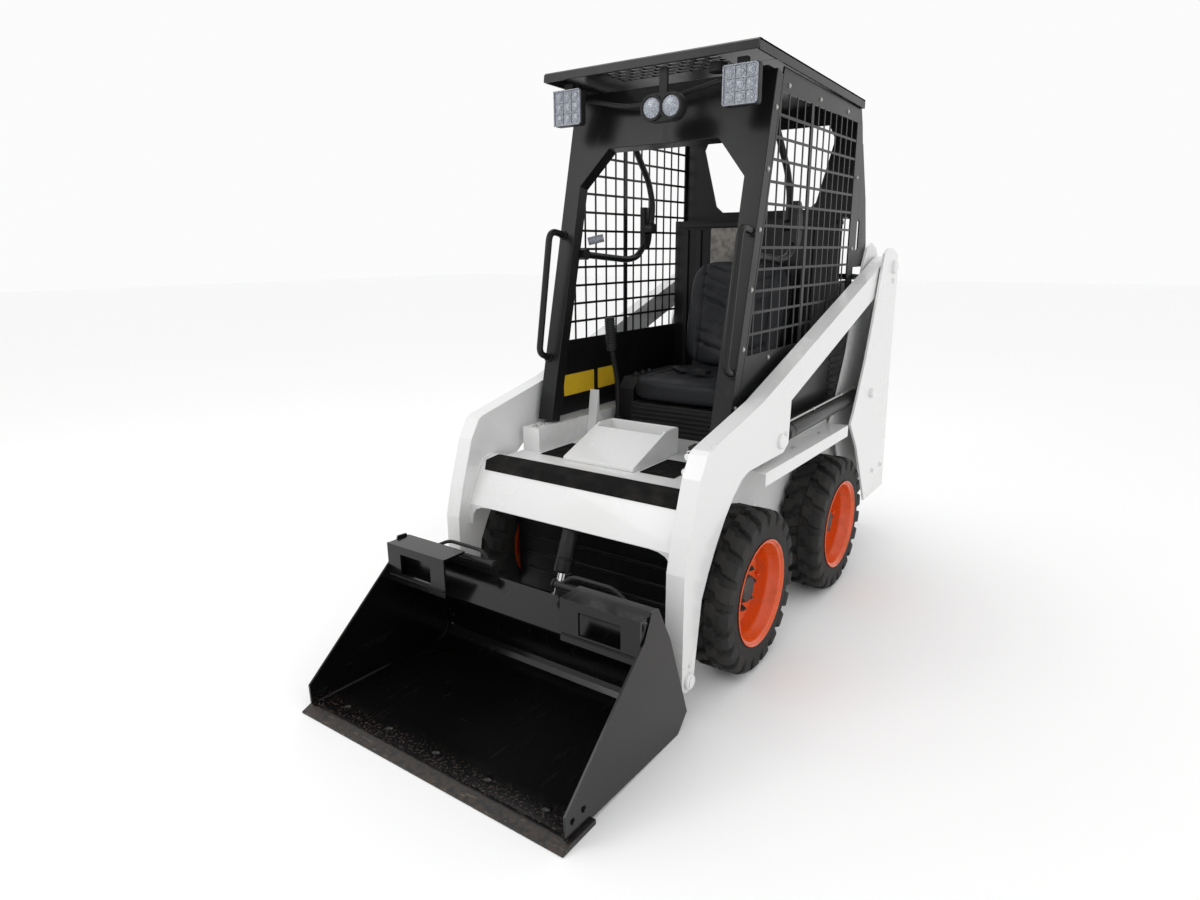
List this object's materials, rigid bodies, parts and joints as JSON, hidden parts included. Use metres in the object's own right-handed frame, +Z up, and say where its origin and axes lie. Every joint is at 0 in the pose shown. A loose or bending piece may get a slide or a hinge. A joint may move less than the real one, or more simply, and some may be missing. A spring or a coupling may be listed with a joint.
{
  "type": "skid steer loader",
  "caption": "Skid steer loader with white frame and lift arms, black mesh-sided cab and bucket, and orange wheel rims, parked with its bucket flat on the ground.",
  "frame": {"origin": "on the ground, at the middle of the overall length and width", "axes": "+X to the machine's left, -Y forward towards the bucket, +Z up"},
  "size_m": [0.998, 2.454, 1.814],
  "materials": {
    "white_paint": "gloss white, lightly dusty",
    "black_paint": "satin black",
    "bucket_black": "gloss black, worn at edges",
    "orange_paint": "gloss orange, dusty",
    "tyre_rubber": "matt, dusty",
    "black_vinyl": "grained vinyl",
    "black_plastic": "moulded",
    "chrome": "polished",
    "worn_steel": "worn, brownish",
    "lamp_grey": "clear lens over a silvered housing",
    "cast_iron": "rough black"
  },
  "bodies": {
    "machine": {"main_frame": "white_paint", "front_axle": "cast_iron", "rear_axle": "cast_iron", "cab_floor": "white_paint", "foot_tray": "white_paint", "upright_bracket": "white_paint", "engine_block": "cast_iron", "engine_cover": "black_paint", "cab_roof": "black_paint", "cab_front_frame": "black_paint", "cab_back_wall": "black_paint", "seat_base": "black_plastic", "seat_cushion": "black_vinyl", "seat_back": "black_vinyl", "twin_lamp": "black_plastic", "tower_left": "white_paint", "tower_right": "white_paint", "fender_left": "white_paint", "fender_right": "white_paint", "cab_side_left": "black_paint", "cab_side_right": "black_paint", "console_left": "black_plastic", "console_right": "black_plastic", "steering_lever_left": "black_plastic", "steering_lever_right": "black_plastic", "work_light_left": "lamp_grey", "work_light_right": "lamp_grey", "grab_handle_left": "black_paint", "grab_handle_right": "black_paint", "seat_bar_rail_left": "black_paint", "seat_bar_rail_right": "black_paint"},
    "rear_door": {"rear_door": "white_paint"},
    "seat_bar": {"seat_bar": "black_paint"},
    "lift_arm": {"lift_arm_left": "white_paint", "lift_arm_right": "white_paint", "arm_cross_member": "white_paint", "hydraulic_couplers": "chrome"},
    "bucket": {"bucket_shell": "bucket_black", "cutting_edge": "worn_steel", "coupler_frame": "black_paint", "coupler_lever_left": "black_paint", "coupler_lever_right": "black_paint"},
    "tilt_barrel": {"tilt_barrel": "black_paint"},
    "tilt_rod": {"tilt_rod": "chrome"},
    "lift_barrel_left": {"lift_barrel_left": "black_paint"},
    "lift_rod_left": {"lift_rod_left": "chrome"},
    "front_left_wheel": {"front_left_tyre": "tyre_rubber", "front_left_rim": "orange_paint"},
    "rear_left_wheel": {"rear_left_tyre": "tyre_rubber", "rear_left_rim": "orange_paint"},
    "lift_barrel_right": {"lift_barrel_right": "black_paint"},
    "lift_rod_right": {"lift_rod_right": "chrome"},
    "front_right_wheel": {"front_right_tyre": "tyre_rubber", "front_right_rim": "orange_paint"},
    "rear_right_wheel": {"rear_right_tyre": "tyre_rubber", "rear_right_rim": "orange_paint"}
  },
  "joints": [
    {"name": "lift_arm", "type": "hinge", "parent": "machine", "child": "lift_arm", "pos_m": [0, 1.04, 1.185], "axis": [-1, 0, 0], "range_deg": [0, 70]},
    {"name": "bucket_tilt", "type": "hinge", "parent": "lift_arm", "child": "bucket", "pos_m": [0, -0.63, 0.115], "axis": [1, 0, 0], "range_deg": [-25, 110]},
    {"name": "tilt_barrel_swing", "type": "hinge", "parent": "lift_arm", "child": "tilt_barrel", "pos_m": [0, -0.515, 0.57], "axis": [1, 0, 0], "range_deg": [-0.5, 1.5]},
    {"name": "tilt_rod_slide", "type": "slide", "parent": "tilt_barrel", "child": "tilt_rod", "axis": [0, -0.3827, -0.9239], "range_m": [-0.041, 0.179]},
    {"name": "rear_door", "type": "hinge", "parent": "machine", "child": "rear_door", "pos_m": [-0.36, 1.185, 0.705], "axis": [0, 0, 1], "range_deg": [0, 95]},
    {"name": "seat_bar", "type": "hinge", "parent": "machine", "child": "seat_bar", "pos_m": [0, 0.32, 1.34], "axis": [1, 0, 0], "range_deg": [0, 90]},
    {"name": "lift_barrel_swing_left", "type": "hinge", "parent": "machine", "child": "lift_barrel_left", "pos_m": [0.412, 0.86, 0.688], "axis": [-1, 0, 0], "range_deg": [0, 64.6]},
    {"name": "lift_rod_slide_left", "type": "slide", "parent": "lift_barrel_left", "child": "lift_rod_left", "axis": [0, -0.9999, -0.0164], "range_m": [0, 0.596]},
    {"name": "front_left_wheel", "type": "hinge", "parent": "machine", "child": "front_left_wheel", "pos_m": [0.423, -0.274, 0.254], "axis": [1, 0, 0], "continuous": true},
    {"name": "rear_left_wheel", "type": "hinge", "parent": "machine", "child": "rear_left_wheel", "pos_m": [0.423, 0.448, 0.254], "axis": [1, 0, 0], "continuous": true},
    {"name": "lift_barrel_swing_right", "type": "hinge", "parent": "machine", "child": "lift_barrel_right", "pos_m": [-0.412, 0.86, 0.688], "axis": [-1, 0, 0], "range_deg": [0, 64.6]},
    {"name": "lift_rod_slide_right", "type": "slide", "parent": "lift_barrel_right", "child": "lift_rod_right", "axis": [0, -0.9999, -0.0164], "range_m": [0, 0.596]},
    {"name": "front_right_wheel", "type": "hinge", "parent": "machine", "child": "front_right_wheel", "pos_m": [-0.423, -0.274, 0.254], "axis": [1, 0, 0], "continuous": true},
    {"name": "rear_right_wheel", "type": "hinge", "parent": "machine", "child": "rear_right_wheel", "pos_m": [-0.423, 0.448, 0.254], "axis": [1, 0, 0], "continuous": true}
  ],
  "couplings": [
    {"joint": "tilt_barrel_swing", "follows": "bucket_tilt", "ratio": 0.01},
    {"joint": "tilt_rod_slide", "follows": "bucket_tilt", "m_per_rad": 0.0931},
    {"joint": "lift_barrel_swing_left", "follows": "lift_arm", "ratio": 0.9194},
    {"joint": "lift_rod_slide_left", "follows": "lift_arm", "m_per_rad": 0.4873},
    {"joint": "lift_barrel_swing_right", "follows": "lift_arm", "ratio": 0.9194},
    {"joint": "lift_rod_slide_right", "follows": "lift_arm", "m_per_rad": 0.4873}
  ]
}
